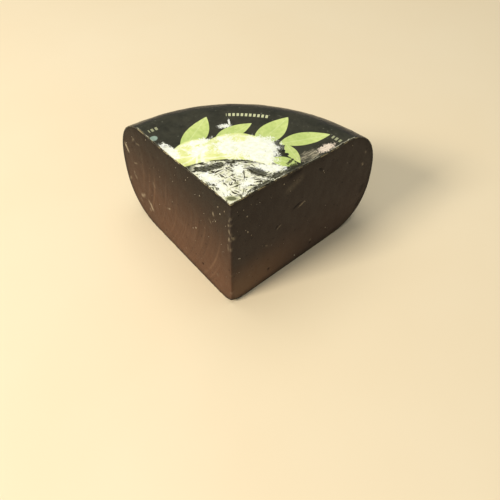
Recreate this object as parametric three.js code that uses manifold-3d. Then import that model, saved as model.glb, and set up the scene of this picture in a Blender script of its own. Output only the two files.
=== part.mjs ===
/**
 * A wedge of dark cheese with its black rind coating and the round label on its top face.
 *
 * Millimetres, +Z up. The whole wheel is a solid of revolution. A wedge-shaped cutter takes
 * about a quarter out of it with two straight cuts, which meet beside the wheel's axis and lean
 * a little, as cuts made by hand do. The same cutter trims the cheese, the coating that wraps
 * it and the label, so their cut edges line up. The wedge points along -Y and stands on z = 0,
 * with the origin under the middle of its box.
 */
import * as THREE from 'three';
import { mergeVertices } from 'three/addons/utils/BufferGeometryUtils.js';
import Module from 'manifold-3d';

const wasm = await Module();
wasm.setup();

// The wheel
const WHEEL_RADIUS = 127;
const SHOULDER_HEIGHT = 88; // where the upper rim meets the top face
const CROWN = 6; // rise of the top face from the shoulder to the middle
const WIDEST_HEIGHT = 38; // where the rim bulges most
const FLAT_TOP_RADIUS = 93;
const FLAT_BASE_RADIUS = 93;
const UPPER_RIM_POWER = 2.25; // superellipse powers: 2 is an ellipse, more is squarer
const LOWER_RIM_POWER = 2.4;

// The layers
const COATING_THICKNESS = 0.8;
const LABEL_THICKNESS = 0.4;
const LABEL_RADIUS = 101;
const CLEARANCE = 0.3; // between the cheese, the coating and the label

// The two cuts
const WEDGE_ANGLE = THREE.MathUtils.degToRad(91);
const TIP_FROM_AXIS = 8; // how far short of the wheel's axis the cuts meet
const TIP_TO_SIDE = -4; // how far beside the axis they meet
const TIP_LEAN_X = 2; // lean of the wedge's tip over the shoulder height
const TIP_LEAN_Y = 3;
const CUTTER_REACH = 300;
const CUTTER_MARGIN = 20;

// Facets
const STEPS_AROUND_WHEEL = 96;
const STEPS_OVER_RIM = 11;
const STEPS_OVER_TOP = 7;

/** Height of the wheel's top face at a radius: a crown that is level in the middle and at its edge. */
function topHeight(radius) {
  const share = 1 - (radius / FLAT_TOP_RADIUS) ** 2;
  return SHOULDER_HEIGHT + CROWN * share ** 2;
}

/** Half outline of the wheel, as (radius, height) points from the middle of its base to its top. */
function wheelOutline() {
  const points = [new THREE.Vector2(0, 0)];
  const bulgeBelow = WHEEL_RADIUS - FLAT_BASE_RADIUS;
  const bulgeAbove = WHEEL_RADIUS - FLAT_TOP_RADIUS;
  for (let i = 0; i <= STEPS_OVER_RIM; i++) {
    const angle = (Math.PI / 2) * (i / STEPS_OVER_RIM);
    const out = Math.sin(angle) ** (2 / LOWER_RIM_POWER);
    const down = Math.cos(angle) ** (2 / LOWER_RIM_POWER);
    points.push(new THREE.Vector2(FLAT_BASE_RADIUS + bulgeBelow * out, WIDEST_HEIGHT * (1 - down)));
  }
  for (let i = 1; i <= STEPS_OVER_RIM; i++) {
    const angle = (Math.PI / 2) * (i / STEPS_OVER_RIM);
    const out = Math.cos(angle) ** (2 / UPPER_RIM_POWER);
    const up = Math.sin(angle) ** (2 / UPPER_RIM_POWER);
    const height = WIDEST_HEIGHT + (SHOULDER_HEIGHT - WIDEST_HEIGHT) * up;
    points.push(new THREE.Vector2(FLAT_TOP_RADIUS + bulgeAbove * out, height));
  }
  for (let i = 1; i <= STEPS_OVER_TOP; i++) {
    const radius = FLAT_TOP_RADIUS * (1 - i / STEPS_OVER_TOP);
    points.push(new THREE.Vector2(radius, topHeight(radius)));
  }
  return points;
}

/** The outline moved into the wheel along its own normals. */
function insetOutline(points, distance) {
  const last = points.length - 1;
  return points.map((point, i) => {
    const along = points[Math.min(i + 1, last)].clone().sub(points[Math.max(i - 1, 0)]).normalize();
    const inward = new THREE.Vector2(-along.y, along.x);
    if (i === 0) inward.set(0, 1);
    if (i === last) inward.set(0, -1);
    return point.clone().addScaledVector(inward, distance);
  });
}

/** A closed mesh as a solid that can be joined and cut. */
function solidOf(geometry) {
  geometry.deleteAttribute('normal');
  geometry.deleteAttribute('uv');
  const merged = mergeVertices(geometry);
  const corners = merged.index.array;
  const kept = [];
  for (let i = 0; i < corners.length; i += 3) {
    const [a, b, c] = corners.slice(i, i + 3);
    if (a !== b && b !== c && c !== a) kept.push(a, b, c);
  }
  const mesh = new wasm.Mesh({
    numProp: 3,
    vertProperties: merged.attributes.position.array,
    triVerts: new Uint32Array(kept),
  });
  return new wasm.Manifold(mesh);
}

/** A solid as a geometry. */
function geometryOf(solid) {
  const { vertProperties, triVerts } = solid.getMesh();
  const geometry = new THREE.BufferGeometry();
  geometry.setAttribute('position', new THREE.BufferAttribute(vertProperties, 3));
  geometry.setIndex(new THREE.BufferAttribute(triVerts, 1));
  geometry.computeVertexNormals();
  return geometry;
}

/** The outline turned about the wheel's axis, which stands behind the wedge's tip. */
function turned(outline) {
  const geometry = new THREE.LatheGeometry(outline, STEPS_AROUND_WHEEL);
  geometry.rotateX(Math.PI / 2);
  geometry.translate(-TIP_TO_SIDE, -TIP_FROM_AXIS, 0);
  return solidOf(geometry);
}

/** A triangular prism whose front edge is the wedge's leaning tip and whose sides are the cuts. */
function wedgeCutter() {
  const across = CUTTER_REACH * Math.sin(WEDGE_ANGLE / 2);
  const forward = CUTTER_REACH * Math.cos(WEDGE_ANGLE / 2);
  const plan = new THREE.Shape([
    new THREE.Vector2(0, 0),
    new THREE.Vector2(across, forward),
    new THREE.Vector2(-across, forward),
  ]);
  const depth = SHOULDER_HEIGHT + CROWN + 2 * CUTTER_MARGIN;
  const prism = new THREE.ExtrudeGeometry(plan, { depth, bevelEnabled: false });
  prism.translate(0, 0, -CUTTER_MARGIN);
  const leanX = TIP_LEAN_X / SHOULDER_HEIGHT;
  const leanY = TIP_LEAN_Y / SHOULDER_HEIGHT;
  prism.applyMatrix4(new THREE.Matrix4().makeShear(0, 0, 0, 0, leanX, leanY));
  return solidOf(prism);
}

/** Paste and natural rind in one piece, inside the coating. */
function cheeseSolid(outline) {
  return turned(insetOutline(outline, COATING_THICKNESS + CLEARANCE));
}

/** The black coating: a thin skin over the base, the rim and the top face. */
function coatingSolid(outline) {
  return turned(outline).subtract(turned(insetOutline(outline, COATING_THICKNESS)));
}

/** The round label: a sheet that follows the top face out to the label's radius. */
function labelSolid(outline) {
  const top = outline.filter((point) => point.y > WIDEST_HEIGHT);
  const end = top.findIndex((point) => point.x < LABEL_RADIUS);
  const share = (LABEL_RADIUS - top[end].x) / (top[end - 1].x - top[end].x);
  const edge = top[end].clone().lerp(top[end - 1], share);
  const upper = [edge, ...top.slice(end)];
  const raised = (lift) => upper.map((point) => new THREE.Vector2(point.x, point.y + lift));
  const underside = raised(CLEARANCE).reverse();
  return turned([...underside, ...raised(CLEARANCE + LABEL_THICKNESS)]);
}

/** One named sub-part, trimmed by the two cuts. */
function wedgePart(name, solid, material) {
  const mesh = new THREE.Mesh(geometryOf(solid.intersect(wedgeCutter())), material);
  mesh.name = name;
  return mesh;
}

const outline = wheelOutline();
const pasteMaterial = new THREE.MeshStandardMaterial({ color: 0x3b2b22, roughness: 0.75, metalness: 0 });
const coatingMaterial = new THREE.MeshStandardMaterial({ color: 0x15130f, roughness: 0.4, metalness: 0 });
const labelMaterial = new THREE.MeshStandardMaterial({ color: 0x2e3026, roughness: 0.5, metalness: 0 });

const wedge = new THREE.Group();
wedge.add(wedgePart('cheese', cheeseSolid(outline), pasteMaterial));
wedge.add(wedgePart('rind_coating', coatingSolid(outline), coatingMaterial));
wedge.add(wedgePart('top_label', labelSolid(outline), labelMaterial));

const middle = new THREE.Box3().setFromObject(wedge).getCenter(new THREE.Vector3());
wedge.position.set(-middle.x, -middle.y, 0);

export default wedge;
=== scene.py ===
"""A wedge of dark cheese: its cut faces, its black rind coating and the printed label on top.

Every size is in millimetres until a mesh is made from it. A place on the wedge is given in one
of two ways: on the label as (x, y) from the foot of the tip, and on a cut face as the distance
from the tip line and the height.
"""
import math

import bpy
import numpy as np
from mathutils import Matrix, Vector


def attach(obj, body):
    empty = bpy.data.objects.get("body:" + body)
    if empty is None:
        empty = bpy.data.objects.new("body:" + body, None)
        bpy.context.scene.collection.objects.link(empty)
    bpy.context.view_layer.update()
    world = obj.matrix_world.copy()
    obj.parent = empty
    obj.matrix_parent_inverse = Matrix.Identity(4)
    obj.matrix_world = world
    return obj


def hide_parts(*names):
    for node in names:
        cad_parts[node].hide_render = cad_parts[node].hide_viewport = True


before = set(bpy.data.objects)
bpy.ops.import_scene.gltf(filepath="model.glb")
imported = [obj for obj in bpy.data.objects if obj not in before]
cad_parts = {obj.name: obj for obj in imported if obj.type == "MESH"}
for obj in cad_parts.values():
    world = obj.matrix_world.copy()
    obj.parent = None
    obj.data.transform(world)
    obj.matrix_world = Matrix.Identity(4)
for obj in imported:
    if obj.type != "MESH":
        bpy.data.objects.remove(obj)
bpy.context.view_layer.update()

MM = 0.001

# The wheel that the wedge was cut from
WIDEST_RADIUS = 127
FLAT_RADIUS = 93
WIDEST_HEIGHT = 38
SHOULDER_HEIGHT = 88
CROWN = 6
LOWER_POWER = 2.4
UPPER_POWER = 2.25

# The wedge
HALF_ANGLE = math.radians(45.5)
AXIS_FROM_TIP = np.array([4.0, -8.0])
TIP_LEAN = np.array([2.0, 3.0]) / SHOULDER_HEIGHT
FOOT_LIFT = 3.6  # how far the tip's foot is rounded up off the floor
FOOT_REACH = 5.0
FOOT_POWER = 1.42

# The layers
COAT = 0.8
PASTE_INSET = 0.81
LABEL_RADIUS = 101
LABEL_THICKNESS = 0.3
LABEL_GAP = 0.04
SMALL_INSET = 0.16  # keeps the smooth outside within the faceted one of the frame

# The camera and its aim, seen from the foot of the tip
AIM_FROM_TIP = Vector((8.3, 45.5, 0.0))
CAMERA_DISTANCE = 357.67
CAMERA_AZIMUTH = math.radians(5.263)
CAMERA_PITCH = math.radians(53.115)
CAMERA_ROLL = math.radians(-0.241)
CAMERA_LENS = 36.045
CAMERA_SENSOR = 36.0

LEFT = -1
RIGHT = 1

# Where the tip edge is chipped (heights) and how far each chip reaches along it
TIP_CHIPS = [(55.0, 2.6), (64.2, 1.8), (71.6, 2.4), (77.0, 1.3), (82.0, 1.5), (31.0, 1.1), (12.0, 1.6)]
TIP_BLUNTNESS = 0.35
BLUNT_REACH = 8
CHIP_DEPTH = 0.35
CHIP_PALENESS = 0.16

# The knife's marks run in nested arcs: each is upright at this height and bends outwards below it
DRAG_HEIGHT = {LEFT: 72, RIGHT: 120}
DRAG_RADIUS = {LEFT: 115, RIGHT: 95}
DRAG_STRENGTH = {LEFT: 1.0, RIGHT: 0.2}
DRAG_DEPTH = 0.045

# Marks on each cut face: distance from the tip line, height, half length, half width, turn from
# upright in degrees, strength
PALE_FLECKS = {
    LEFT: [
        (109.6, 60.2, 3.4, 1.0, 24, 1.0),
        (100.3, 22.3, 2.8, 1.3, -50, 0.55),
        (97.8, 24.8, 1.2, 0.8, -20, 0.4),
        (90.0, 19.0, 3.4, 1.2, 30, 0.75),
        (92.6, 22.0, 1.3, 0.8, 30, 0.5),
        (105.5, 37.5, 2.6, 0.9, 20, 0.35),
        (114.0, 29.5, 2.6, 0.9, -30, 0.3),
        (98.0, 74.0, 2.4, 0.6, -35, 0.3),
        (65.0, 37.5, 2.2, 0.5, -60, 0.35),
        (15.5, 74.0, 1.6, 0.5, 10, 0.6),
        (19.0, 65.0, 1.8, 0.4, 40, 0.35),
        (1.7, 64.4, 1.7, 0.5, 0, 0.6),
        (1.4, 71.4, 2.0, 0.35, 4, 0.6),
        (1.8, 76.4, 1.0, 0.4, 0, 0.5),
        (1.2, 80.6, 1.3, 0.3, 0, 0.35),
        (2.6, 56.5, 3.0, 0.6, 6, 0.2),
        (101.0, 52.2, 2.6, 0.5, -60, 0.35),
        (92.8, 73.6, 2.2, 0.5, -70, 0.35),
        (80.6, 47.6, 2.4, 0.8, 20, 0.2),
        (92.2, 14.4, 1.4, 0.7, 20, 0.45),
        (106.2, 40.5, 1.2, 0.6, 0, 0.3),
        (103.5, 15.5, 1.6, 0.6, 30, 0.25),
        (13.8, 18.0, 1.2, 0.6, 10, 0.25),
    ],
    RIGHT: [
        (55.0, 57.4, 2.7, 0.38, 66, 0.8),
        (37.2, 49.4, 2.0, 0.4, 60, 0.4),
        (28.0, 38.5, 1.4, 0.4, -40, 0.35),
        (47.0, 79.5, 7.0, 2.6, 68, 0.13),
        (109.2, 58.2, 1.6, 0.6, -30, 0.45),
        (108.8, 68.6, 1.5, 0.5, -40, 0.35),
        (1.5, 66.0, 2.4, 0.9, -30, 0.4),
        (69.6, 11.6, 1.1, 0.6, 0, 0.4),
    ],
}
DARK_PITS = {
    LEFT: [
        (30.0, 13.2, 1.1, 0.9, 10, 1.0),
        (59.0, 47.6, 0.8, 0.6, 0, 0.5),
        (75.5, 74.0, 1.2, 0.6, 30, 0.35),
        (97.0, 71.5, 1.6, 0.7, -20, 0.4),
        (86.0, 46.0, 0.9, 0.6, 0, 0.3),
    ],
    RIGHT: [
        (51.0, 59.0, 3.4, 0.6, 70, 0.9),
        (35.2, 50.6, 1.6, 0.7, 40, 0.7),
        (26.6, 40.2, 1.3, 0.6, -40, 0.6),
        (31.7, 11.0, 1.2, 0.9, 0, 1.0),
        (69.8, 8.8, 1.3, 0.8, 0, 0.8),
        (67.6, 78.4, 2.2, 0.7, -50, 0.9),
        (46.0, 88.0, 5.0, 2.0, 80, 0.6),
        (86.0, 56.0, 1.4, 0.8, 0, 0.3),
        (115.5, 32.0, 4.5, 2.0, 10, 0.5),
        (115.0, 18.0, 3.0, 1.6, 30, 0.5),
    ],
}

# Crumbs and crystals that stand on the cut faces: side, distance, height, size
CRUMBS = [
    (LEFT, 34.0, 46.3, 0.75), (LEFT, 37.6, 42.8, 0.5), (LEFT, 58.5, 49.6, 0.6),
    (LEFT, 10.6, 84.0, 0.55), (LEFT, 9.0, 79.6, 0.5), (LEFT, 5.0, 85.0, 0.4), (LEFT, 27.5, 79.2, 0.5),
    (LEFT, 40.6, 81.4, 0.45), (LEFT, 13.4, 70.0, 0.45), (LEFT, 99.0, 75.6, 0.5),
    (LEFT, 90.2, 74.8, 0.45), (LEFT, 109.0, 64.5, 0.4), (LEFT, 24.6, 67.0, 0.35),
    (LEFT, 64.0, 38.4, 0.45), (LEFT, 81.0, 84.5, 0.4), (LEFT, 70.6, 62.0, 0.3),
    (RIGHT, 11.5, 77.2, 0.7), (RIGHT, 12.3, 63.6, 0.6), (RIGHT, 10.8, 66.0, 0.4),
    (RIGHT, 15.0, 58.8, 0.5), (RIGHT, 6.0, 44.0, 0.6), (RIGHT, 7.0, 43.1, 0.45),
    (RIGHT, 55.4, 6.4, 0.6), (RIGHT, 70.5, 75.4, 0.5), (RIGHT, 38.0, 84.8, 0.45),
    (RIGHT, 110.4, 67.2, 0.4), (RIGHT, 109.8, 57.4, 0.45), (RIGHT, 57.6, 58.2, 0.4),
    (RIGHT, 21.0, 63.0, 0.3), (RIGHT, 44.0, 62.4, 0.3), (RIGHT, 9.0, 84.0, 0.35),
    (RIGHT, 84.0, 14.0, 0.3),
]


def foot_of_tip():
    """The foremost corner of the coating, which is the foot of the wedge's tip."""
    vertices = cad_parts["rind_coating"].data.vertices
    corners = np.empty(3 * len(vertices), np.float32)
    vertices.foreach_get("co", corners)
    corners = corners.reshape(-1, 3).astype(float)
    return corners[np.argmin(corners[:, 1])] / MM


TIP = foot_of_tip()


# ---- shapes

RIM_SAMPLES = 800
TOP_REPEATS = 6


def smooth_step(low, high, value):
    """0 at low, 1 at high and an even S between them. It falls where low is the larger."""
    share = np.clip((value - low) / (high - low), 0, 1)
    return share * share * (3 - 2 * share)


def waves(places, size, seed, count=20):
    """A smooth random field of about -1 to 1: plane waves about size long, in random directions,
    added up."""
    rng = np.random.default_rng(seed)
    headings = rng.normal(size=(count, places.shape[-1]))
    headings /= np.linalg.norm(headings, axis=1, keepdims=True)
    lengths = size * rng.uniform(0.6, 1.7, count)
    turns = places @ (headings / lengths[:, None]).T + rng.uniform(0, 1, count)
    return np.sin(2 * math.pi * turns).sum(-1) / math.sqrt(count)


def rim_curve(count, inset):
    """(radius, height) over the rim at even steps: two quarters of superellipses, from the flat
    base's edge round the widest line to the shoulder, moved in along their normals by inset."""
    turn = np.linspace(0, math.pi / 2, RIM_SAMPLES)
    bulge = WIDEST_RADIUS - FLAT_RADIUS
    rise = SHOULDER_HEIGHT - WIDEST_HEIGHT
    lower_radius = FLAT_RADIUS + bulge * np.sin(turn) ** (2 / LOWER_POWER)
    lower_height = WIDEST_HEIGHT * (1 - np.cos(turn) ** (2 / LOWER_POWER))
    upper_radius = FLAT_RADIUS + bulge * np.cos(turn) ** (2 / UPPER_POWER)
    upper_height = WIDEST_HEIGHT + rise * np.sin(turn) ** (2 / UPPER_POWER)
    radius = np.concatenate([lower_radius, upper_radius[1:]])
    height = np.concatenate([lower_height, upper_height[1:]])
    along = np.concatenate([[0], np.cumsum(np.hypot(np.diff(radius), np.diff(height)))])
    even = np.linspace(0, along[-1], count)
    radius = np.interp(even, along, radius)
    height = np.interp(even, along, height)
    out = np.gradient(radius)
    up = np.gradient(height)
    out[[0, -1]] = [1, -1]
    up[[0, -1]] = 0
    length = np.hypot(out, up)
    return radius - inset * up / length, height + inset * out / length


def top_height(radius):
    """Height of the top face: a crown that is level at the middle and the shoulder, and past the
    shoulder the upper quarter of the rim."""
    share = 1 - np.minimum(radius / FLAT_RADIUS, 1) ** 2
    beyond = np.clip((radius - FLAT_RADIUS) / (WIDEST_RADIUS - FLAT_RADIUS), 0, 1)
    drop = 1 - (1 - beyond**UPPER_POWER) ** (1 / UPPER_POWER)
    return SHOULDER_HEIGHT + CROWN * share**2 - (SHOULDER_HEIGHT - WIDEST_HEIGHT) * drop


def foot_lift(distance):
    """How far the base is rounded up near the tip: it fades with the distance from the tip line."""
    return FOOT_LIFT * np.exp(-((distance / FOOT_REACH) ** FOOT_POWER))


def from_axis(height):
    """Where the tip line is at a height, seen from the wheel's axis."""
    return height[..., None] * TIP_LEAN - AXIS_FROM_TIP


def heading(turn):
    """The level direction away from the tip line at an angle from +Y towards +X."""
    return np.stack([np.sin(turn), np.cos(turn)], -1)


def reach(turn, radius, height):
    """Distance from the tip line, along a direction, to where the wheel has that radius."""
    start = from_axis(height)
    along = (start * heading(turn)).sum(-1)
    return np.sqrt(along**2 - (start**2).sum(-1) + radius**2) - along


def on_top(turn, distance, inset):
    """Height of the top face at a distance from the tip line, which leans: found by repetition."""
    height = np.full(np.broadcast(turn, distance).shape, float(SHOULDER_HEIGHT))
    for _ in range(TOP_REPEATS):
        place = from_axis(height) + distance[..., None] * heading(turn)
        height = top_height(np.linalg.norm(place, axis=-1)) - inset
    return height


def outline(turn, inset, flat_count, rim_count):
    """Distance from the tip line and height, round the wedge's outline in the upright plane at
    each angle: along the base, over the rim and back along the top face. One row per angle."""
    turn = turn[:, None]
    share = graded(flat_count)
    radius, height = rim_curve(rim_count, inset)
    height = np.broadcast_to(height, (len(turn), rim_count))
    rim = reach(turn, radius, height)
    base = rim[:, :1] * share
    top = rim[:, -1:] * share[::-1]
    distance = np.concatenate([base[:, :-1], rim, top[:, 1:]], 1)
    heights = np.concatenate([inset + 0 * base[:, :-1], height, on_top(turn, top, inset)[:, 1:]], 1)
    return distance, heights + foot_lift(distance) * (heights < WIDEST_HEIGHT)


def crowded_turns(count):
    """Angles from one cut to the other that crowd together towards both, as a sine slows down."""
    return HALF_ANGLE * np.sin(np.linspace(-math.pi / 2, math.pi / 2, count))


def graded(count):
    """Shares from 0 to 1 whose steps grow evenly, the first about a third of the last."""
    even = np.linspace(0, 1, count)
    return 0.55 * even + 0.45 * even**2


def tip_bluntness(height):
    """How far the tip edge is worn back at a height: a little everywhere, and more at its chips."""
    worn = TIP_BLUNTNESS * (1 + 0.5 * waves(height[..., None], 7, seed=3))
    for middle, length in TIP_CHIPS:
        worn = worn + CHIP_DEPTH * np.exp(-(((height - middle) / length) ** 2))
    return worn


def in_space(turn, distance, height):
    """Points of the wedge, from an angle, a distance from the tip line and a height. Near the tip
    line they move back onto a hyperbola, which rounds the edge."""
    level = distance[..., None] * heading(turn)
    side = np.abs(level[..., 0])
    blunt = tip_bluntness(height)
    back = (np.sqrt(side**2 + blunt**2) - side) / math.tan(HALF_ANGLE)
    level[..., 1] += back * np.exp(-((distance / BLUNT_REACH) ** 2))
    level = level + height[..., None] * TIP_LEAN + TIP[:2]
    return np.concatenate([level, height[..., None]], -1)


def grid_faces(rows, columns, start=0):
    """Quads between the points of a grid that is stored row after row from number start."""
    number = start + np.arange(rows * columns).reshape(rows, columns)
    corners = [number[:-1, :-1], number[:-1, 1:], number[1:, 1:], number[1:, :-1]]
    return np.stack([c.ravel() for c in corners], -1)


def rim_loop(rows, columns):
    """The numbers of a grid's points round its edge, in one direction."""
    number = np.arange(rows * columns).reshape(rows, columns)
    return np.concatenate([number[0, :-1], number[:-1, -1], number[-1, :0:-1], number[:0:-1, 0]])


def closed_shell(outer, inner):
    """Points and quads of a shell between two grids of points, with a wall round its edge."""
    rows, columns = outer.shape[:2]
    count = rows * columns
    loop = rim_loop(rows, columns)
    following = np.roll(loop, -1)
    wall = np.stack([following, loop, loop + count, following + count], -1)
    faces = [grid_faces(rows, columns), grid_faces(rows, columns, count)[:, ::-1], wall]
    return np.concatenate([outer.reshape(-1, 3), inner.reshape(-1, 3)]), np.concatenate(faces)


def placed(name, data):
    """An object in the scene that holds a mesh, a camera or a light."""
    made = bpy.data.objects.new(name, data)
    bpy.context.scene.collection.objects.link(made)
    return made


def mesh_piece(name, points, quads, values, replaced, finish, sharp=40):
    """One closed piece: points that fall together are merged, quads become triangles and those
    with no area go. values are the named numbers that each point carries for the finish."""
    _, first, same = np.unique(np.round(points, 4), axis=0, return_index=True, return_inverse=True)
    corners = same.ravel()[quads]
    triangles = np.concatenate([corners[:, [0, 1, 2]], corners[:, [0, 2, 3]]])
    a, b, c = triangles.T
    triangles = triangles[(a != b) & (b != c) & (c != a)]
    mesh = bpy.data.meshes.new(name)
    mesh.from_pydata((points[first] * MM).tolist(), [], triangles.tolist())
    mesh.shade_smooth()
    mesh.set_sharp_from_angle(angle=math.radians(sharp))
    for value_name, numbers in values.items():
        attribute = mesh.attributes.new(value_name, "FLOAT", "POINT")
        attribute.data.foreach_set("value", numbers[first].astype(np.float32))
    mesh.materials.append(finish)
    piece = placed(name, mesh)
    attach(piece, "root")
    if replaced:
        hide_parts(replaced)
    return piece


# ---- the cut paste

FACE_COLUMNS = 200
FACE_ROWS = 160
HIDDEN_COLUMNS = 24
FACE_WARP = 0.2
PIT_DEPTH = 0.7
FLECK_HEIGHT = 0.12


def face_grid(distance, height):
    """A cut face as a grid between its four edges: a Coons patch of the tip line, the rim, the
    base and the top. distance and height go round the outline, as outline() gives them."""
    edge = np.stack([distance, height], -1)
    base = edge[:FACE_COLUMNS]
    rim = edge[FACE_COLUMNS - 1:FACE_COLUMNS - 1 + FACE_ROWS]
    top = edge[FACE_COLUMNS + FACE_ROWS - 2:][::-1]
    up = np.linspace(0, 1, FACE_ROWS)[:, None, None]
    out = graded(FACE_COLUMNS)[None, :, None]
    tip = base[0] + (top[0] - base[0]) * up
    across = (1 - up) * base + up * top
    upright = (1 - out) * tip + out * rim[:, None]
    lower_corners = (1 - out) * base[0] + out * base[-1]
    upper_corners = (1 - out) * top[0] + out * top[-1]
    patch = across + upright - (1 - up) * lower_corners - up * upper_corners
    patch[0] = base
    patch[-1] = top
    patch[:, -1] = rim
    return patch[..., 0], patch[..., 1]


def marks(table, distance, height):
    """The strongest of the oval marks in a table at each place on a cut face, each fading like a
    bell from its middle."""
    strongest = np.zeros_like(distance)
    for middle, level, length, width, turn, strength in table:
        lean = math.radians(turn)
        along = (distance - middle) * math.sin(lean) + (height - level) * math.cos(lean)
        across = (distance - middle) * math.cos(lean) - (height - level) * math.sin(lean)
        oval = np.exp(-((along / length) ** 4) - (across / width) ** 2)
        strongest = np.maximum(strongest, strength * oval)
    return strongest


def drag_marks(side, distance, height):
    """The knife's streaks: a field of waves along nested arcs, drawn out far along each arc."""
    bend = (DRAG_HEIGHT[side] - height) ** 2 / (2 * DRAG_RADIUS[side])
    across = distance - bend
    place = np.stack([across, 0.3 * height], -1)
    across = across + 0.5 * waves(place, 30, seed=20 + side)
    broad = waves(across[..., None], 14, seed=23 + side)
    narrow = waves(across[..., None], 5.2, seed=30 + side) * (0.8 + 0.4 * waves(place, 22, seed=33 + side))
    fine = waves(across[..., None], 2.6, seed=40 + side) * (0.6 + 0.5 * waves(place, 14, seed=43 + side))
    middle = smooth_step(4, 18, distance) * smooth_step(106, 76, distance)
    fading = 0.15 + 0.85 * smooth_step(76, 45, height) * middle
    return DRAG_STRENGTH[side] * (0.2 * broad + (0.75 * narrow + 0.4 * fine) * fading)


def from_outline(distance, height, edge):
    """How far each place on a cut face is from the nearest point of the face's outline."""
    places = np.stack([distance.ravel(), height.ravel()], -1).astype(np.float32)
    edge = edge.astype(np.float32)
    square = (places**2).sum(-1)[:, None] - 2 * places @ edge.T + (edge**2).sum(-1)
    return np.sqrt(np.maximum(square.min(1), 0)).reshape(distance.shape)


def cut_face(side, distance, height):
    """Points and named values of a cut face: a gently waved sheet with the knife's streaks, pits
    and raised flecks, which fades to flat at its edges."""
    edge = np.stack([distance, height], -1)
    across, up = face_grid(distance, height)
    depth_in = from_outline(across, up, edge)
    streak = drag_marks(side, across, up)
    pale = marks(PALE_FLECKS[side], across, up)
    dark = marks(DARK_PITS[side], across, up)
    place = np.stack([across, up], -1)
    relief = FACE_WARP * waves(place, 46, seed=50 + side) + 0.05 * waves(place, 12, seed=60 + side)
    relief = relief + DRAG_DEPTH * streak + 0.008 * waves(place, 2.5, seed=70 + side)
    relief = relief - PIT_DEPTH * dark + FLECK_HEIGHT * pale
    relief = relief * smooth_step(0, 1.5, depth_in) * smooth_step(0, 2, across)
    points = in_space(np.full_like(across, side * HALF_ANGLE), across, up)
    outwards = np.array([side * math.cos(HALF_ANGLE), -math.sin(HALF_ANGLE), 0])
    points = points + relief[..., None] * outwards
    chipped = smooth_step(TIP_BLUNTNESS * 1.3, TIP_BLUNTNESS * 2.4, tip_bluntness(up))
    chipped = chipped * smooth_step(1.8, 0.5, across)
    pale = np.maximum(pale, CHIP_PALENESS * chipped)
    return points, {"streak": streak, "pale": pale, "dark": dark, "depth_in": depth_in}


def build_paste(finish):
    """The paste: two cut faces and the hidden outside that the coating wraps."""
    turn = np.linspace(-HALF_ANGLE, HALF_ANGLE, HIDDEN_COLUMNS)
    distance, height = outline(turn, PASTE_INSET, FACE_COLUMNS, FACE_ROWS)
    points = []
    quads = []
    values = {"streak": [], "pale": [], "dark": [], "depth_in": []}
    for side, row in ((LEFT, 0), (RIGHT, -1)):
        face, face_values = cut_face(side, distance[row], height[row])
        points.append(face.reshape(-1, 3))
        for name, numbers in face_values.items():
            values[name].append(numbers.ravel())
        start = len(quads) * FACE_ROWS * FACE_COLUMNS
        quads.append(grid_faces(FACE_ROWS, FACE_COLUMNS, start)[:, ::side])
    quads.append(grid_faces(*distance.shape, 2 * FACE_ROWS * FACE_COLUMNS))
    points.append(in_space(turn[:, None], distance, height).reshape(-1, 3))
    values = {name: np.concatenate([*parts, np.zeros(distance.size)]) for name, parts in values.items()}
    points = np.concatenate(points)
    quads = np.concatenate(quads)
    return mesh_piece("cut_paste", points, quads, values, "cheese", finish)


CRUMB_ROWS = 6
CRUMB_SIDES = 7
LOOSE_CRUMBS = 70


def build_crumbs(finish):
    """Small pale crumbs on the cut faces: each is a ball of a few facets with an uneven radius."""
    rng = np.random.default_rng(11)
    band = np.linspace(0, math.pi, CRUMB_ROWS)[:, None]
    round_it = np.linspace(0, 2 * math.pi, CRUMB_SIDES + 1)[None, :-1]
    points = []
    quads = []
    for side, distance, height, size in CRUMBS + loose_crumbs(rng):
        middle = in_space(np.array([side * HALF_ANGLE]), np.array([distance]), np.array([height]))[0]
        radius = size * rng.uniform(0.7, 1.2, (CRUMB_ROWS, CRUMB_SIDES))
        radius[[0, -1]] = size * 0.8
        ball = np.stack([
            radius * np.sin(band) * np.cos(round_it),
            radius * np.sin(band) * np.sin(round_it),
            radius * np.cos(band) * rng.uniform(0.8, 1.6) + 0 * round_it,
        ], -1)
        count = CRUMB_ROWS * CRUMB_SIDES
        start = len(points) * count
        points.append((middle + ball * np.array([0.8, 0.8, 1])).reshape(-1, 3))
        number = start + np.arange(count).reshape(CRUMB_ROWS, CRUMB_SIDES)
        beside = np.roll(number, -1, axis=1)
        ring = np.stack([number[:-1], number[1:], beside[1:], beside[:-1]], -1)
        quads.append(ring.reshape(-1, 4))
    points = np.concatenate(points)
    return mesh_piece("paste_crumbs", points, np.concatenate(quads), {}, None, finish, 60)


def loose_crumbs(rng):
    """Tiny crumbs strewn over both cut faces, more of them near the tip and under the label."""
    strewn = []
    for _ in range(LOOSE_CRUMBS):
        side = LEFT if rng.random() < 0.55 else RIGHT
        distance = 4 + 100 * rng.random() ** 1.4
        height = 86 - 78 * rng.random() ** 1.5
        strewn.append((side, distance, height, rng.uniform(0.12, 0.3)))
    return strewn


# ---- the coating

COAT_COLUMNS = 150
COAT_FLAT = 70
COAT_RIM = 110
UNEVEN_MOST = 0.6
CORE_HEIGHT = 45.0  # of the point on the wheel's axis that the coat's unevenness leads towards


def coat_grid(turn, inset):
    """The coat's outline swept from cut to cut: its points, their distances from the tip line and
    their distances from the nearer cut."""
    distance, height = outline(turn, inset, COAT_FLAT, COAT_RIM)
    from_cut = distance * np.sin(HALF_ANGLE - np.abs(turn[:, None]))
    return in_space(turn[:, None], distance, height), distance, from_cut


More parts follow.
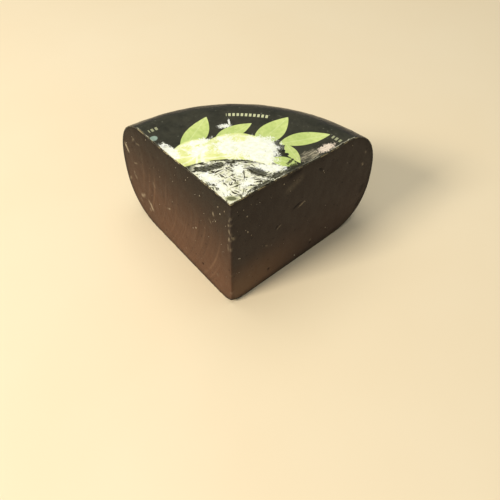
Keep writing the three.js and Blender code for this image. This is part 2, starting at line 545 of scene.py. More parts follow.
def build_coating(finish):
    """The black coating: a thin shell over the base, the rim and the top face, gently uneven as
    brushed-on coats are, with a lip at the cuts."""
    turn = crowded_turns(COAT_COLUMNS)
    outer, distance, from_cut = coat_grid(turn, SMALL_INSET)
    uneven = 0.22 + 0.12 * waves(outer, 24, seed=81) + 0.05 * waves(outer, 6, seed=82)
    uneven = np.clip(uneven, 0, UNEVEN_MOST) * smooth_step(0.5, 6, from_cut)
    uneven = uneven * smooth_step(2, 12, distance)
    inwards = np.array([0, 0, CORE_HEIGHT]) + np.append(TIP[:2] + AXIS_FROM_TIP, 0) - outer
    inwards = inwards / np.linalg.norm(inwards, axis=-1, keepdims=True)
    outer = outer + uneven[..., None] * inwards
    inner, _, from_cut = coat_grid(turn, COAT)
    points, quads = closed_shell(outer, inner)
    both = {"from_cut": np.concatenate([from_cut.ravel()] * 2)}
    return mesh_piece("black_coating", points, quads, both, "rind_coating", finish)


# ---- the label

LABEL_COLUMNS = 190
LABEL_ROWS = 160
LABEL_LIFT = 0.12
LABEL_CURL = 0.3


def build_label(finish):
    """The round label's quarter: a thin sheet that lies on the top face and bends over the
    shoulder, a little lifted and ragged along the two cuts."""
    turn = crowded_turns(LABEL_COLUMNS)[:, None]
    end_height = np.full_like(turn, top_height(float(LABEL_RADIUS)))
    uneven_radius = LABEL_RADIUS + 0.25 * waves(turn * 100, 9, seed=91)[:, None]
    far = reach(turn, uneven_radius, end_height)
    distance = far * graded(LABEL_ROWS)[::-1]
    from_cut = distance * np.sin(HALF_ANGLE - np.abs(turn))
    lower = on_top(turn, distance, -LABEL_GAP)
    place = np.stack([distance * np.sin(turn), distance * np.cos(turn)], -1)
    curl = smooth_step(4, 0, from_cut) * smooth_step(-0.2, 1.2, waves(place, 16, seed=93))
    lift = LABEL_LIFT * np.abs(waves(place, 14, seed=92)) + LABEL_CURL * curl
    lower = lower + lift * smooth_step(0, 6, distance) * smooth_step(0, 5, far - distance)
    sheets = [in_space(turn, distance, lower + LABEL_THICKNESS), in_space(turn, distance, lower)]
    side = np.sign(turn)
    ragged = 0.22 * waves(distance[..., None] * np.ones(2) + 50 * side[..., None], 5, seed=94)
    ragged = ragged + 0.12 * waves(distance[..., None] + 80 * side[..., None], 1.6, seed=95)
    sideways = -side * math.cos(HALF_ANGLE)
    inwards = np.stack([sideways, math.sin(HALF_ANGLE) + 0 * turn, 0 * turn], -1)
    shift = np.abs(ragged) * smooth_step(3, 0, from_cut) * smooth_step(1, 5, distance)
    sheets = [sheet + shift[..., None] * inwards for sheet in sheets]
    points, quads = closed_shell(*sheets)
    both = {"from_cut": np.concatenate([from_cut.ravel()] * 2)}
    return mesh_piece("printed_label", points, quads, both, "top_label", finish)


# ---- writing shader trees


def colour(red, green, blue):
    """A screen colour from 0 to 255 as the linear colour that a shader works in."""
    screen = np.array([red, green, blue]) / 255
    linear = np.where(screen <= 0.04045, screen / 12.92, ((screen + 0.055) / 1.055) ** 2.4)
    return (*linear.tolist(), 1.0)


class Formula:
    """Writes a shader tree as formulas: each call adds a node and gives its output."""

    def __init__(self, tree):
        self.tree = tree

    def node(self, kind, inputs, **settings):
        made = self.tree.nodes.new(kind)
        for name, value in settings.items():
            setattr(made, name, value)
        for key, value in inputs.items():
            if isinstance(value, bpy.types.NodeSocket):
                self.tree.links.new(value, made.inputs[key])
            else:
                made.inputs[key].default_value = value
        return made

    def math(self, operation, *values, clamp=False):
        inputs = dict(enumerate(values))
        return self.node("ShaderNodeMath", inputs, operation=operation, use_clamp=clamp).outputs[0]

    def add(self, a, b):
        return self.math("ADD", a, b)

    def less(self, a, b):
        return self.math("SUBTRACT", a, b)

    def times(self, a, b):
        return self.math("MULTIPLY", a, b)

    def over(self, a, b):
        return self.math("DIVIDE", a, b)

    def apart(self, a, b):
        return self.math("ABSOLUTE", self.less(a, b))

    def far(self, x, y):
        """How far (x, y) is from (0, 0)."""
        return self.math("SQRT", self.add(self.times(x, x), self.times(y, y)))

    def most(self, first, *others):
        for other in others:
            first = self.math("MAXIMUM", first, other)
        return first

    def vector(self, operation, *values):
        node = self.node("ShaderNodeVectorMath", dict(enumerate(values)), operation=operation)
        return node.outputs["Value" if operation in ("LENGTH", "DOT_PRODUCT", "DISTANCE") else "Vector"]

    def scaled(self, place, x, y, z=1.0):
        return self.vector("MULTIPLY", place, (x, y, z))

    def parts(self, place):
        return self.node("ShaderNodeSeparateXYZ", {0: place}).outputs

    def joined(self, x, y, z=0.0):
        return self.node("ShaderNodeCombineXYZ", {0: x, 1: y, 2: z}).outputs[0]

    def noise(self, place, size, detail=2.0, roughness=0.5, warp=0.0):
        inputs = {"Vector": place, "Detail": detail, "Roughness": roughness, "Distortion": warp}
        if isinstance(size, bpy.types.NodeSocket):
            inputs["Scale"] = self.over(1.0, size)
        else:
            inputs["Scale"] = 1 / size
        return self.node("ShaderNodeTexNoise", inputs).outputs["Fac"]

    def step(self, value, low, high, to_low=0.0, to_high=1.0):
        """An even S from to_low at low to to_high at high."""
        inputs = {"Value": value, "From Min": low, "From Max": high, "To Min": to_low, "To Max": to_high}
        return self.node("ShaderNodeMapRange", inputs, interpolation_type="SMOOTHSTEP").outputs[0]

    def mix(self, share, a, b):
        """A mix of two colours or values, each an output or a screen colour (red, green, blue)."""
        a, b = [c if isinstance(c, bpy.types.NodeSocket) else colour(*c) for c in (a, b)]
        return self.node("ShaderNodeMix", {0: share, 6: a, 7: b}, data_type="RGBA").outputs[2]

    def value(self, name):
        return self.node("ShaderNodeAttribute", {}, attribute_name=name).outputs["Fac"]

    def place(self):
        """Object coordinates in millimetres."""
        coordinates = self.node("ShaderNodeTexCoord", {}).outputs["Object"]
        return self.vector("MULTIPLY", coordinates, (1 / MM,) * 3)

    def use(self, name, **values):
        """An effect with its values by name, underscores for spaces. Gives its outputs."""
        made = self.tree.nodes.new("ShaderNodeGroup")
        made.node_tree = EFFECTS[name]
        for key, value in values.items():
            socket = made.inputs[key.replace("_", " ")]
            if isinstance(value, bpy.types.NodeSocket):
                self.tree.links.new(value, socket)
            else:
                socket.default_value = value
        return made.outputs


def effect(name, inputs, outputs, write):
    """An effect as a node group. inputs holds each one's starting value by name: a number, or
    three for a place. write(formula, inputs) gives the outputs in order."""
    tree = bpy.data.node_groups.new(name, "ShaderNodeTree")
    for key, value in inputs.items():
        kind = "NodeSocketVector" if isinstance(value, tuple) else "NodeSocketFloat"
        tree.interface.new_socket(key, in_out="INPUT", socket_type=kind).default_value = value
    for key in outputs:
        tree.interface.new_socket(key, in_out="OUTPUT", socket_type="NodeSocketFloat")
    formula = Formula(tree)
    given = tree.nodes.new("NodeGroupInput").outputs
    results = write(formula, given)
    final = tree.nodes.new("NodeGroupOutput")
    for socket, result in zip(final.inputs, results):
        tree.links.new(result, socket)
    return tree


# ---- effects


def write_mottle(f, given):
    """Soft clouds from 0 to 1 of a size, with smaller ones in them."""
    cloud = f.noise(given["Place"], given["Size"], 4.0, 0.55)
    return [f.step(cloud, 0.28, 0.72)]


def write_scuffs(f, given):
    """Thin scratches in two directions, in patches."""
    x, y, z = f.parts(given["Place"])
    along = f.times(f.add(x, f.times(y, 0.35)), 0.12)
    across = f.times(f.less(y, f.times(x, 0.35)), 2.2)
    first = f.joined(along, across, f.times(z, 2.2))
    across = f.times(f.less(x, f.times(y, 0.9)), 2.4)
    along = f.times(f.add(y, f.times(x, 0.9)), 0.14)
    second = f.joined(across, along, f.times(z, 1.1))
    lines = f.most(f.noise(first, 1.0, 2.0), f.noise(second, 1.0, 2.0))
    patches = f.step(f.noise(given["Place"], 14.0, 2.0), 0.42, 0.62)
    low = f.less(0.86, f.times(given["Amount"], 0.3))
    return [f.times(f.step(lines, low, f.add(low, 0.08)), patches)]


def write_specks(f, given):
    """Round specks in some cells of a grid of scattered points."""
    inputs = {"Vector": given["Place"], "Scale": f.over(1.0, given["Size"])}
    cells = f.node("ShaderNodeTexVoronoi", inputs)
    chance = f.parts(cells.outputs["Color"])[0]
    chosen = f.math("LESS_THAN", chance, given["Amount"])
    return [f.times(f.step(cells.outputs["Distance"], 0.26, 0.12), chosen)]


def write_leaf(f, given):
    """A leaf between its base and its tip: wide below the middle and pointed at both ends, with a
    bulge of its own on either side, a midrib and slanting side veins."""
    axis = f.vector("SUBTRACT", given["Tip"], given["Base"])
    length = f.vector("LENGTH", axis)
    from_base = f.vector("SUBTRACT", given["Place"], given["Base"])
    ahead = f.vector("NORMALIZE", axis)
    along = f.over(f.vector("DOT_PRODUCT", from_base, ahead), length)
    x, y, _ = f.parts(from_base)
    a, b, _ = f.parts(ahead)
    side = f.less(f.times(x, b), f.times(y, a))
    share = f.math("POWER", f.math("MAXIMUM", f.math("MINIMUM", along, 1.0), 0.0), 0.88)
    swell = f.math("POWER", f.math("MAXIMUM", f.math("SINE", f.times(share, math.pi)), 0.0), 0.85)
    right = f.math("GREATER_THAN", side, 0.0)
    bulge = f.add(f.times(right, given["Right Bulge"]), f.times(f.less(1.0, right), given["Left Bulge"]))
    away = f.math("ABSOLUTE", side)
    room = f.less(f.times(bulge, swell), away)
    midrib = f.step(away, 0.55, 0.15)
    slant = f.less(f.times(along, length), f.times(away, 0.9))
    veins = f.step(f.apart(f.math("FRACT", f.times(slant, 0.28)), 0.5), 0.08, 0.0)
    return [f.step(room, 0.02, 0.32), f.most(midrib, f.times(veins, 0.45)), along]


def write_slice(f, given):
    """A round fruit slice: a disc, the walls between its segments with the pale pith round them,
    and its peel."""
    from_middle = f.vector("SUBTRACT", given["Place"], given["Middle"])
    x, y, _ = f.parts(from_middle)
    distance = f.far(x, y)
    share = f.over(distance, given["Radius"])
    turn = f.math("ARCTAN2", y, x)
    wobble = f.noise(given["Place"], 5.0, 2.0)
    segment = f.math("FRACT", f.add(f.times(turn, 9 / (2 * math.pi)), f.times(wobble, 0.35)))
    wall = f.apart(segment, 0.5)
    wall = f.times(f.less(0.5, wall), f.times(distance, 0.7))
    walls = f.step(wall, 0.9, 0.25)
    pith = f.times(f.step(share, 0.80, 0.86), f.step(share, 0.95, 0.91))
    peel = f.step(share, 0.91, 0.95)
    return [f.step(share, 1.01, 0.99), f.most(walls, pith), peel]


def write_patch(f, given):
    """An oval patch with a ragged edge: a falling slope broken up by noise."""
    from_middle = f.vector("SUBTRACT", given["Place"], given["Middle"])
    x, y, _ = f.parts(from_middle)
    turn = given["Turn"]
    cosine = f.math("COSINE", turn)
    sine = f.math("SINE", turn)
    along = f.over(f.add(f.times(x, cosine), f.times(y, sine)), given["Half Length"])
    across = f.over(f.less(f.times(y, cosine), f.times(x, sine)), given["Half Width"])
    away = f.far(along, across)
    cloud = f.noise(given["Place"], given["Grain"], 5.0, 0.7, 0.8)
    specks = f.noise(given["Place"], 0.7, 2.0, 0.6)
    broken = f.less(f.add(f.times(cloud, 1.2), f.times(specks, 0.7)), 0.95)
    slope = f.add(f.less(1.0, away), f.times(broken, given["Ragged"]))
    return [f.step(slope, 0.0, 0.2)]


def write_strands(f, given):
    """Strands that fan out from a point: noise drawn out along the rays, cut to an amount."""
    from_point = f.vector("SUBTRACT", given["Place"], given["From"])
    x, y, _ = f.parts(from_point)
    distance = f.far(x, y)
    turn = f.math("ARCTAN2", y, x)
    bent = f.add(turn, f.times(f.noise(given["Place"], 16.0, 1.0), 0.22))
    drawn = f.joined(f.times(bent, given["Count"]), f.over(distance, given["Length"]))
    strand = f.noise(drawn, 1.0, 3.0, 0.6)
    low = f.less(0.78, f.times(given["Amount"], 0.4))
    return [f.step(strand, low, f.add(low, 0.035))]


def build_effects():
    """Every shared effect, by name."""
    here = (0.0, 0.0, 0.0)
    return {
        "mottle": effect("mottle", {"Place": here, "Size": 10.0}, ["Value"], write_mottle),
        "scuffs": effect("scuffs", {"Place": here, "Amount": 0.5}, ["Mask"], write_scuffs),
        "specks": effect("specks", {"Place": here, "Size": 3.0, "Amount": 0.2}, ["Mask"], write_specks),
        "leaf": effect(
            "printed_leaf",
            {"Place": here, "Base": here, "Tip": here, "Left Bulge": 5.0, "Right Bulge": 5.0},
            ["Mask", "Veins", "Along"], write_leaf),
        "slice": effect(
            "printed_slice", {"Place": here, "Middle": here, "Radius": 15.0},
            ["Disc", "Pith", "Peel"], write_slice),
        "patch": effect(
            "ragged_patch",
            {"Place": here, "Middle": here, "Half Length": 5.0, "Half Width": 5.0, "Turn": 0.0,
             "Grain": 2.0, "Ragged": 1.5},
            ["Mask"], write_patch),
        "strands": effect(
            "strands", {"Place": here, "From": here, "Count": 60.0, "Length": 12.0, "Amount": 0.5},
            ["Mask"], write_strands),
    }


EFFECTS = build_effects()


# ---- finishes


def new_finish(name, roughness_level, specular):
    """An empty material: its formula and its shader."""
    material = bpy.data.materials.new(name)
    material.use_nodes = True
    shader = material.node_tree.nodes["Principled BSDF"]
    shader.inputs["Roughness"].default_value = roughness_level
    shader.inputs["Specular IOR Level"].default_value = specular
    return material, Formula(material.node_tree), shader


def surface(f, shader, base, roughness, height, depth):
    """Feeds a shader its colour, its roughness and a bump of so many millimetres."""
    bump = f.node("ShaderNodeBump", {"Height": height, "Distance": depth * MM, "Strength": 1.0})
    f.tree.links.new(base, shader.inputs["Base Color"])
    f.tree.links.new(roughness, shader.inputs["Roughness"])
    f.tree.links.new(bump.outputs[0], shader.inputs["Normal"])


def paste_finish():
    """Dark brown paste: clouded, streaked by the knife, with pale crystals, dark pores and a darker band
    under the rind. Painted warm bounce light makes it lighter and redder low down, painted shade
    makes the right-hand cut greyer, and the pores and pits are darkened as painted shade."""
    material, f, shader = new_finish("dark_paste", 0.7, 0.16)
    place = f.place()
    height = f.parts(place)[2]
    clouds = f.use("mottle", Place=place, Size=26.0)[0]
    small = f.use("mottle", Place=f.scaled(place, 1, 1, 0.5), Size=5.0)[0]
    streak = f.value("streak")
    pale = f.value("pale")
    dark = f.value("dark")
    depth_in = f.value("depth_in")
    # painted warm bounce light: the paste is lighter and redder towards the bottom, darker towards the top
    base = f.mix(f.step(height, 8.0, 92.0), (100, 70, 50), (36, 31, 24))
    base = f.mix(f.times(clouds, 0.25), base, (56, 44, 32))
    base = f.mix(f.times(small, 0.08), base, (84, 60, 43))
    from_tip = f.less(f.parts(place)[0], float(TIP[0]))
    base = f.mix(f.step(from_tip, -42.0, -82.0, 0.0, 0.3), base, (52, 43, 33))
    # painted shade: the right-hand cut is made greyer and darker, least near the tip's foot
    right_hand = f.step(from_tip, -0.5, 3.0)
    near_foot = f.times(f.step(height, 44.0, 2.0), f.step(from_tip, 52.0, 3.0, 0.12, 1.0))
    painted_shade = f.times(right_hand, f.less(0.88, f.times(near_foot, 0.75)))
    base = f.mix(painted_shade, base, (58, 50, 45))
    # painted warm bounce light: the right-hand cut is made lighter and warmer near the tip's foot
    base = f.mix(f.times(f.times(right_hand, near_foot), 0.7), base, (120, 95, 72))
    base = f.mix(f.step(streak, 0.15, 1.4, 0.0, 0.4), base, (122, 93, 69))
    base = f.mix(f.step(streak, -0.1, -1.4, 0.0, 0.2), base, (42, 31, 23))
    base = f.mix(f.step(depth_in, 5.5, 0.5, 0.0, 0.4), base, (34, 26, 19))
    base = f.mix(f.step(depth_in, 0.9, 0.3, 0.0, 0.7), base, (16, 13, 10))
    # painted shade: the pits that are dug into the faces are also darkened almost to black
    base = f.mix(f.times(dark, 0.9), base, (12, 9, 7))
    broken = f.step(f.noise(f.scaled(place, 1, 1, 0.6), 1.1, 3.0, 0.7), 0.34, 0.54, 0.35, 0.95)
    base = f.mix(f.times(pale, broken), base, (186, 170, 140))
    grain = f.noise(place, 0.9, 4.0, 0.7)
    pores = f.use("specks", Place=place, Size=3.2, Amount=0.16)[0]
    # painted shade: the pores that the bump presses in are also darkened
    base = f.mix(f.times(pores, 0.55), base, (30, 22, 16))
    roughness = f.step(f.add(f.times(small, 0.2), f.times(grain, 0.8)), 0.2, 0.8, 0.55, 0.8)
    bumps = f.less(f.add(f.times(grain, 0.5), f.times(small, 0.15)), f.times(pores, 0.9))
    surface(f, shader, base, roughness, bumps, 0.25)
    return material


def crumb_finish():
    """Pale, waxy crumbs, a few of them browner."""
    material, f, shader = new_finish("pale_crumbs", 0.5, 0.4)
    place = f.place()
    clouds = f.use("mottle", Place=place, Size=9.0)[0]
    grain = f.noise(place, 0.4, 3.0, 0.6)
    base = f.mix(clouds, (190, 178, 150), (128, 108, 82))
    base = f.mix(f.times(grain, 0.3), base, (225, 218, 196))
    surface(f, shader, base, f.step(grain, 0.3, 0.7, 0.35, 0.6), grain, 0.1)
    return material


def coating_finish():
    """Brown-black coating: satin, faintly brushed, scuffed and dusty, worn pale at its cut edge."""
    material, f, shader = new_finish("black_coat", 0.4, 0.28)
    place = f.place()
    clouds = f.use("mottle", Place=place, Size=30.0)[0]
    small = f.use("mottle", Place=place, Size=4.0)[0]
    scuffs = f.use("scuffs", Place=place, Amount=0.5)[0]
    dust = f.use("specks", Place=place, Size=2.2, Amount=0.2)[0]
    from_cut = f.value("from_cut")
    height = f.parts(place)[2]
    ends = f.most(f.step(height, 5.0, 2.0), f.step(height, 82.0, 87.0))
    ragged = f.step(f.noise(place, 5.0, 3.0, 0.6), 0.5, 0.6)
    edge = f.times(f.times(f.step(from_cut, 1.1, 0.3), ragged), ends)
    base = f.mix(clouds, (26, 24, 19), (36, 31, 24))
    base = f.mix(f.times(small, 0.35), base, (46, 42, 34))
    base = f.mix(f.times(scuffs, 0.5), base, (112, 106, 90))
    dusty = f.step(f.noise(place, 17.0, 2.0), 0.45, 0.65, 0.0, 0.4)
    base = f.mix(f.times(dust, dusty), base, (124, 118, 102))
    base = f.mix(f.times(edge, 0.75), base, (172, 158, 118))
    grain = f.noise(place, 1.4, 3.0, 0.6)
    roughness = f.step(f.add(f.times(clouds, 0.4), f.times(grain, 0.6)), 0.2, 0.8, 0.26, 0.5)
    roughness = f.most(roughness, f.times(scuffs, 0.65))
    bumps = f.add(f.add(f.times(small, 0.8), f.times(grain, 0.25)), f.times(scuffs, -0.15))
    surface(f, shader, base, roughness, bumps, 0.18)
    return material


ARC_MIDDLE = (2.5, -14.0, 0.0)
ARC_RADIUS = 54.2
LEAVES = [  # base, tip, bulge on the left, bulge on the right
    ((-31.0, 46.0), (-21.5, 79.5), 6.0, 8.5),
    ((-13.0, 53.0), (7.0, 75.5), 7.5, 4.5),
    ((11.0, 54.0), (28.8, 83.5), 8.0, 7.5),
    ((24.5, 57.0), (54.6, 69.4), 7.0, 5.0),
    ((28.5, 57.5), (37.5, 41.0), 3.2, 4.2),
    ((36.0, 39.8), (19.0, 42.8), 4.4, 4.2),
]
SLICES = [((-21.0, 42.0), 15.5), ((0.5, 43.5), 21.5)]
STRAND_FANS = [  # start, strands in a radian
    ((6.0, -6.0), 30.0), ((-44.0, 52.0), 42.0), ((52.0, 46.0), 40.0),
]
SPLASHES = [  # middle, half length, half width, turn in degrees, grain, raggedness
    ((12.5, 52.0), 14.5, 12.0, 10, 3.4, 1.3),
    ((16.0, 41.5), 9.0, 3.4, 0, 2.0, 2.0),
    ((-5.0, 52.0), 8.0, 9.0, 20, 3.0, 2.4),
    ((-21.0, 47.0), 7.0, 5.0, 40, 2.4, 2.6),
    ((-23.0, 54.0), 9.0, 3.0, 30, 2.4, 2.6),
    ((20.5, 34.2), 10.5, 3.6, 8, 2.2, 1.6),
    ((-9.3, 71.3), 4.0, 1.9, 14, 0.8, 2.6),
    ((-6.9, 75.0), 3.6, 0.7, 104, 0.8, 2.2),
    ((-38.0, 45.6), 9.5, 3.2, -44, 2.0, 1.7),
    ((-11.0, 22.5), 8.0, 4.0, -30, 2.2, 2.4),
    ((3.5, 31.0), 3.2, 6.0, 8, 2.0, 2.4),
    ((-3.0, 14.0), 7.0, 2.6, -52, 1.6, 2.2),
    ((9.5, 21.0), 5.0, 2.6, 55, 1.6, 2.6),
]
INK_BLOTS = [  # as the splashes
    ((-12.5, 31.2), 9.5, 3.2, 22, 1.8, 1.5),
    ((14.0, 30.0), 6.5, 3.6, -25, 1.8, 1.7),
    ((-1.5, 36.6), 3.6, 1.3, 12, 1.2, 1.5),
    ((24.5, 28.5), 6.0, 2.4, 40, 1.4, 1.8),
    ((17.0, 19.5), 10.0, 1.6, 44, 1.4, 2.2),
    ((33.5, 37.5), 5.0, 2.2, 45, 1.0, 2.2),
    ((31.5, 41.5), 4.0, 1.0, 60, 0.8, 2.0),
    ((23.8, 56.5), 3.4, 1.5, -50, 1.0, 1.8),
    ((26.4, 49.2), 4.0, 1.0, -48, 1.0, 1.5),
]
BEADS = [  # middle, radius
    ((27.4, 51.0), 1.25), ((29.4, 47.9), 1.4), ((31.5, 44.8), 0.6), ((33.0, 43.3), 0.6),
    ((34.4, 41.8), 0.6),
]
GREY_PATCH = ((42.5, 49.0), 9.0, 4.0, 42, 1.2, 1.4)
PINK_PATCH = ((52.0, 57.0), 6.5, 2.8, 43, 1.2, 2.0)
MINT_DOT = (-49.8, 56.6, 0.0)
TIP_OVAL = (2.3, 7.7, 0.0)
DASH_RADIUS = 91.5
DASHES_PER_DEGREE = 0.62
DASH_SPANS = [  # from and to in degrees round the wheel's axis, strength
    (-8.6, 8.2, 0.85), (-39.5, -35.4, 0.45), (34.4, 39.0, 0.5),
]


def ragged_patch(f, flat, middle, length, width, turn, grain, ragged):
    """The mask of one ragged patch on the label, from a row of numbers as SPLASHES lists them."""
    return f.use("patch", Place=flat, Middle=(*middle, 0.0), Half_Length=length,
                 Half_Width=width, Turn=math.radians(turn), Grain=grain, Ragged=ragged)[0]


def label_finish():
    """The label: black-green ink with leaves, citrus slices, splashes and shredded strands printed
    on it, plain dashes round its border, scuffs, and a pale worn line along the cuts."""
    material, f, shader = new_finish("label_print", 0.45, 0.24)
    place = f.place()
    spot = f.vector("SUBTRACT", place, (TIP[0], TIP[1], 0.0))
    x, y, _ = f.parts(spot)
    flat = f.joined(x, y)
    clouds = f.use("mottle", Place=flat, Size=12.0)[0]
    small = f.use("mottle", Place=flat, Size=2.6)[0]
    base = f.mix(clouds, (37, 36, 25), (53, 51, 37))
    base = f.mix(f.times(small, 0.25), base, (68, 68, 52))

    # strands and pulp below the dark arc, towards the tip
    strands, left_strands, right_strands = [
        f.use("strands", Place=flat, From=(*start, 0.0), Count=count, Length=9.0, Amount=0.8)[0]
        for start, count in STRAND_FANS
    ]
    strands = f.mix(f.step(f.noise(flat, 9.0), 0.42, 0.47), strands, left_strands)
    strands = f.mix(f.step(f.noise(f.scaled(flat, 1, -1), 8.0), 0.48, 0.54), strands, right_strands)
    below = f.step(f.add(y, f.times(f.noise(flat, 4.0), 5.0)), 42.5, 39.0)
    within = f.times(below, f.step(f.apart(x, 3.0), 28.0, 22.0))
    pulp = f.mix(small, (216, 216, 172), (246, 244, 226))
    base = f.mix(f.times(within, 0.85), base, (52, 47, 24))
    base = f.mix(f.times(within, strands), base, pulp)

    for base_point, tip_point, left, right in LEAVES:
        leaf = f.use("leaf", Place=flat, Base=(*base_point, 0.0), Tip=(*tip_point, 0.0),
                     Left_Bulge=left, Right_Bulge=right)
        green = f.mix(f.step(leaf[2], 0.0, 1.0), (178, 198, 110), (202, 216, 128))
        green = f.mix(f.times(clouds, 0.45), green, (222, 229, 150))
        green = f.mix(f.times(f.step(small, 0.3, 0.8), 0.3), green, (160, 184, 92))
        green = f.mix(f.times(leaf[1], 0.35), green, (220, 229, 166))
        base = f.mix(leaf[0], base, green)

    # the dark arc under the slices, and the slices above it
    arc_away = f.vector("DISTANCE", flat, ARC_MIDDLE)
    above_arc = f.step(f.add(arc_away, f.times(f.noise(flat, 6.0), 1.6)), 54.0, 55.0)
    for middle, radius in SLICES:
        fruit = f.use("slice", Place=flat, Middle=(*middle, 0.0), Radius=radius)
        flesh = f.mix(clouds, (210, 217, 108), (240, 241, 172))
        flesh = f.mix(f.times(small, 0.35), flesh, (244, 245, 206))
        flesh = f.mix(f.times(fruit[1], f.step(clouds, 0.1, 0.8, 0.2, 0.85)), flesh, (250, 250, 228))
        flesh = f.mix(f.times(fruit[2], 0.35), flesh, (216, 228, 150))
        base = f.mix(f.times(fruit[0], above_arc), base, flesh)
    wavering = f.add(arc_away, f.times(f.noise(flat, 5.0), 1.4))
    ring = f.step(f.apart(wavering, ARC_RADIUS), 0.75, 0.3)
    ring = f.times(f.times(ring, f.step(f.noise(flat, 3.4, 3.0), 0.4, 0.5)), f.step(x, 18.0, 12.0))
    base = f.mix(f.times(ring, 0.9), base, (40, 38, 18))
    white = f.mix(small, (238, 240, 214), (252, 252, 244))
    for splash_shape in SPLASHES:
        splash = ragged_patch(f, flat, *splash_shape)
        base = f.mix(f.times(splash, 0.92), base, white)
    for blot_shape in INK_BLOTS:
        blot = ragged_patch(f, flat, *blot_shape)
        base = f.mix(f.times(blot, 0.9), base, (44, 42, 22))
    for middle, radius in BEADS:
        bead = f.step(f.vector("DISTANCE", flat, (*middle, 0.0)), radius, radius - 0.3)
        base = f.mix(bead, base, (24, 24, 14))

    base = border_marks(f, flat, x, y, base)
    from_cut = f.value("from_cut")
    scuffs = f.use("scuffs", Place=place, Amount=0.55)[0]
    dust = f.use("specks", Place=flat, Size=2.4, Amount=0.2)[0]
    dusty = f.step(f.noise(flat, 15.0, 2.0), 0.42, 0.62, 0.0, 0.5)
    base = f.mix(f.times(scuffs, 0.45), base, (150, 150, 130))
    base = f.mix(f.times(dust, dusty), base, (140, 140, 120))
    fray = f.add(from_cut, f.times(f.less(f.noise(place, 2.0, 3.0, 0.7), 0.5), 1.8))
    worn = f.step(f.noise(place, 11.0, 3.0, 0.6), 0.42, 0.58, 0.1, 0.75)
    worn = f.times(worn, f.step(y, 40.0, 54.0, 0.3, 1.0))
    base = f.mix(f.times(f.step(fray, 0.65, 0.2), worn), base, (206, 202, 176))
    grain = f.noise(place, 0.8, 2.0)
    roughness = f.step(f.add(f.times(clouds, 0.5), f.times(grain, 0.5)), 0.2, 0.8, 0.34, 0.52)
    roughness = f.most(roughness, f.times(scuffs, 0.6))
    bumps = f.add(f.times(f.noise(place, 9.0, 2.0), 1.2), f.times(grain, 0.12))
    surface(f, shader, base, roughness, bumps, 0.2)
    return material


def border_marks(f, flat, x, y, base):
    """Plain dashes round the label's border, a mint dot at its left end, a grey and a pale patch
    streaked along its right-hand cut, and an oval at the tip."""
    from_axis_x = f.less(x, float(AXIS_FROM_TIP[0]))
    from_axis_y = f.less(y, float(AXIS_FROM_TIP[1]))
    turn = f.times(f.math("ARCTAN2", from_axis_x, from_axis_y), 180 / math.pi)
    away = f.vector("LENGTH", f.joined(from_axis_x, from_axis_y))
    tall = f.step(f.apart(away, DASH_RADIUS), 1.5, 1.2)
    gaps = f.step(f.apart(f.math("FRACT", f.times(turn, DASHES_PER_DEGREE)), 0.5), 0.32, 0.27)
    for low, high, strength in DASH_SPANS:
        span = f.times(f.math("GREATER_THAN", turn, low), f.math("LESS_THAN", turn, high))
        base = f.mix(f.times(f.times(span, tall), f.times(gaps, strength)), base, (212, 214, 166))
    dot = f.step(f.vector("DISTANCE", flat, MINT_DOT), 2.7, 1.9)
    base = f.mix(f.times(dot, 0.65), base, (166, 190, 172))
    along = f.joined(f.times(f.add(x, y), 0.12), f.times(f.less(x, y), 1.1))
    drawn = f.noise(along, 1.0, 3.0, 0.6)
    grey = ragged_patch(f, flat, *GREY_PATCH)
    base = f.mix(f.times(grey, f.step(drawn, 0.42, 0.62, 0.1, 0.85)), base, (176, 166, 138))
    pink = ragged_patch(f, flat, *PINK_PATCH)
    base = f.mix(f.times(pink, f.step(drawn, 0.35, 0.5, 0.5, 0.95)), base, (240, 222, 198))
    from_oval = f.vector("SUBTRACT", flat, TIP_OVAL)
    oval = f.vector("LENGTH", f.scaled(from_oval, 1 / 3.4, 1 / 1.9, 0.0))
    base = f.mix(f.step(oval, 1.15, 1.0, 0.0, 0.8), base, (176, 178, 134))
    return f.mix(f.step(oval, 0.85, 0.65, 0.0, 0.85), base, (84, 86, 50))


def floor_finish():
    """A pale warm matt ground with faint clouds."""
    material, f, shader = new_finish("pale_floor", 0.75, 0.2)
    place = f.place()
    clouds = f.noise(place, 160.0, 3.0)
    base = f.mix(clouds, (240, 224, 190), (234, 214, 176))
    surface(f, shader, base, f.step(clouds, 0.3, 0.7, 0.7, 0.8), clouds, 0.05)
    return material


# ---- stage


FLOOR_HALF_SIDE = 4.0  # metres
ROOM_STRENGTH = 0.3
ROOM_STRENGTH_SEEN = 0.85  # what the camera sees past the floor


def build_floor():
    """A wide pale floor."""
    mesh = bpy.data.meshes.new("floor")
    side = FLOOR_HALF_SIDE
    corners = [(-side, -side, 0), (side, -side, 0), (side, side, 0), (-side, side, 0)]
    mesh.from_pydata(corners, [], [(0, 1, 2, 3)])
    mesh.materials.append(floor_finish())
    floor = placed("floor", mesh)


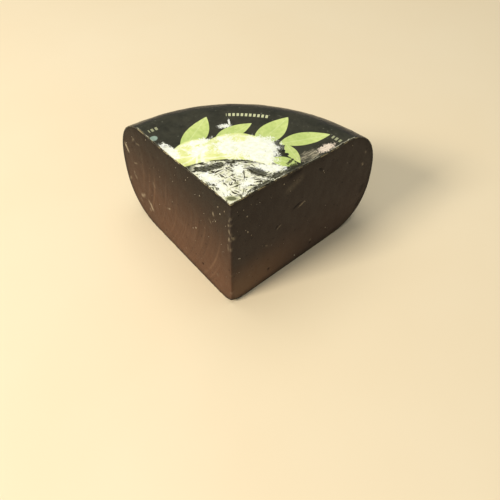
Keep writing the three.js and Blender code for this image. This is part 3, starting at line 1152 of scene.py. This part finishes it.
def build_camera():
    """The camera, aimed by its azimuth, pitch and roll at a point on the floor."""
    level = math.cos(CAMERA_PITCH)
    cosine = math.cos(CAMERA_AZIMUTH)
    sine = math.sin(CAMERA_AZIMUTH)
    ahead = Vector((-sine * level, cosine * level, -math.sin(CAMERA_PITCH)))
    right = Vector((cosine, sine, 0))
    up = right.cross(ahead)
    tilted_right = math.cos(CAMERA_ROLL) * right + math.sin(CAMERA_ROLL) * up
    tilted_up = math.cos(CAMERA_ROLL) * up - math.sin(CAMERA_ROLL) * right
    data = bpy.data.cameras.new("camera")
    data.lens = CAMERA_LENS
    data.sensor_width = CAMERA_SENSOR
    camera = placed("camera", data)
    aim = Vector(TIP) + AIM_FROM_TIP
    place = (aim - ahead * CAMERA_DISTANCE) * MM
    turn = Matrix((tilted_right, tilted_up, -ahead)).transposed().to_4x4()
    camera.matrix_world = Matrix.Translation(place) @ turn
    bpy.context.scene.camera = camera


def area_light(name, place, aim, size, watts, tint):
    """A square soft light at a place, pointed at an aim, all in metres."""
    data = bpy.data.lights.new(name, "AREA")
    data.size = size
    data.energy = watts
    data.color = tint
    light = placed(name, data)
    light.location = place
    light.rotation_mode = "QUATERNION"
    light.rotation_quaternion = (Vector(aim) - Vector(place)).to_track_quat("-Z", "Y")


def build_lights():
    """A pale room, a warm soft key from the front left and a wide soft light overhead."""
    world = bpy.data.worlds.new("room")
    bpy.context.scene.world = world
    world.use_nodes = True
    world_shader = world.node_tree.nodes["Background"]
    world_shader.inputs["Color"].default_value = (0.92, 0.97, 1, 1)
    seen = world.node_tree.nodes.new("ShaderNodeLightPath").outputs["Is Camera Ray"]
    strength = Formula(world.node_tree).step(seen, 0.0, 1.0, ROOM_STRENGTH, ROOM_STRENGTH_SEEN)
    world.node_tree.links.new(strength, world_shader.inputs["Strength"])
    area_light("key", place=(-0.95, -0.65, 0.95), aim=(0, 0, 0.04),
               size=0.36, watts=18.5, tint=(1, 0.94, 0.86))
    area_light("overhead", place=(-0.2, 0.3, 1.7), aim=(0, 0, 0),
               size=1.4, watts=13, tint=(1, 0.99, 0.97))
    bpy.context.scene.view_settings.view_transform = "Standard"


build_camera()
build_floor()
build_lights()
build_paste(paste_finish())
build_crumbs(crumb_finish())
build_coating(coating_finish())
build_label(label_finish())
